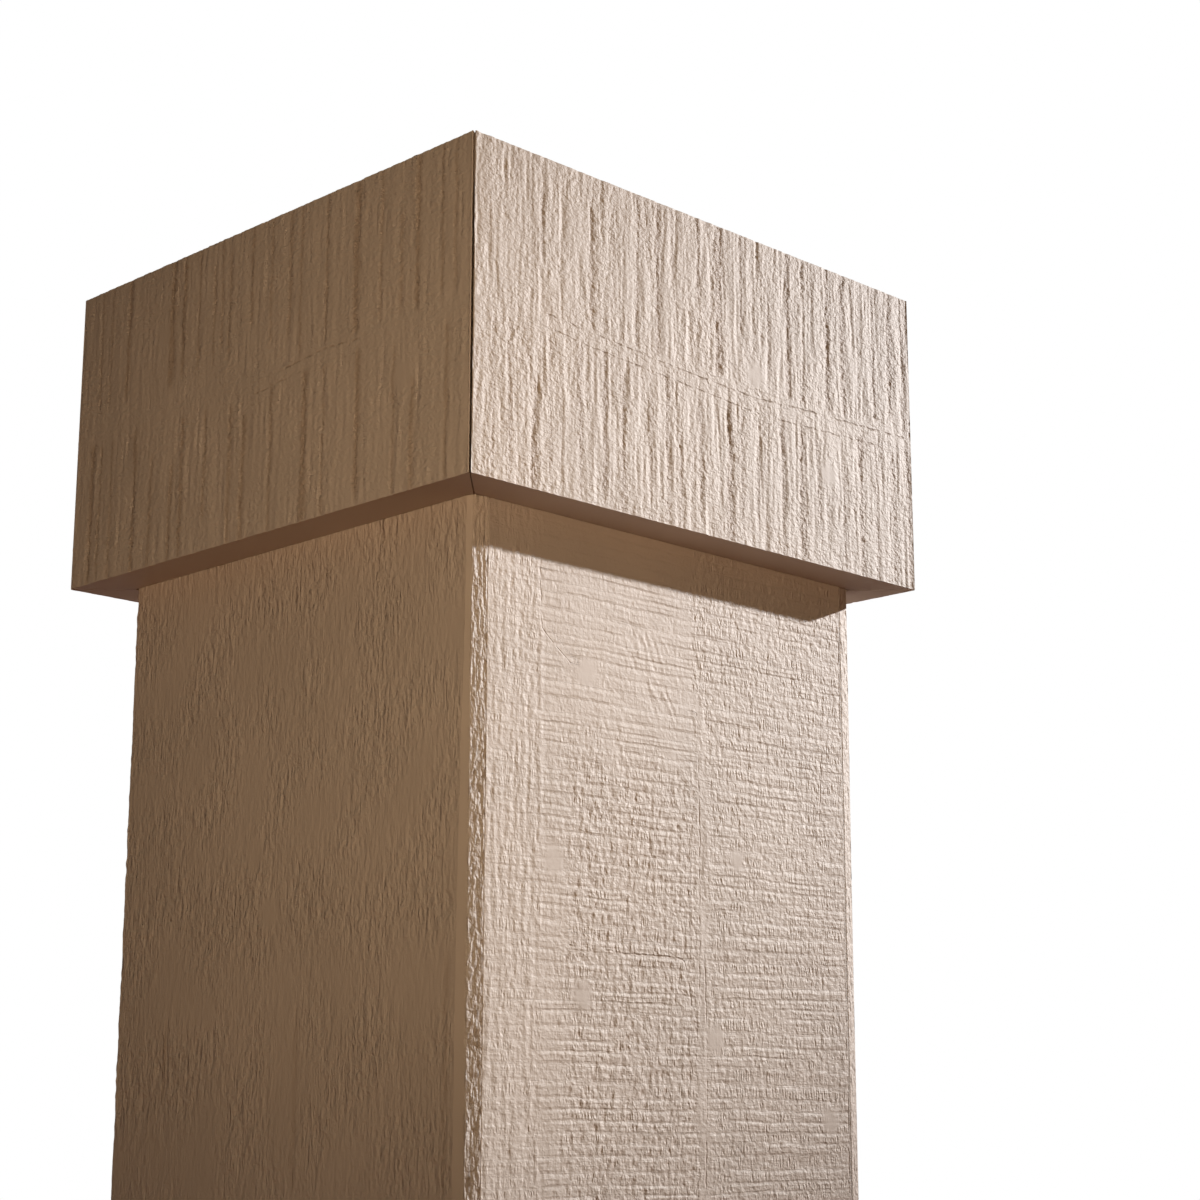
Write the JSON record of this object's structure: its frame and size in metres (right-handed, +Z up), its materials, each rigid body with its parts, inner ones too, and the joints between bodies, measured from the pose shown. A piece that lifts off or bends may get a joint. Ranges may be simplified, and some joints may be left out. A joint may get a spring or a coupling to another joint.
{
  "type": "square column wrap",
  "caption": "Hollow square column casing with a rough-sawn face and a mitred boxed capital, open at both ends to pass round a post.",
  "frame": {"origin": "middle of the square outline, in the plane of the open lower end that it stands on", "axes": "+Z up along the shaft to the capital, +X out of the closing panel, the front"},
  "size_m": [0.2414, 0.2414, 1],
  "materials": {
    "shaft": "primed, rough sawn",
    "closing_panel": "primed, rough sawn",
    "capital": "primed, rough sawn"
  },
  "bodies": {
    "root": {"shaft_channel": "shaft", "shaft_closing_panel": "closing_panel", "capital_board_front": "capital", "capital_board_right": "capital", "capital_board_back": "capital", "capital_board_left": "capital"}
  },
  "joints": []
}
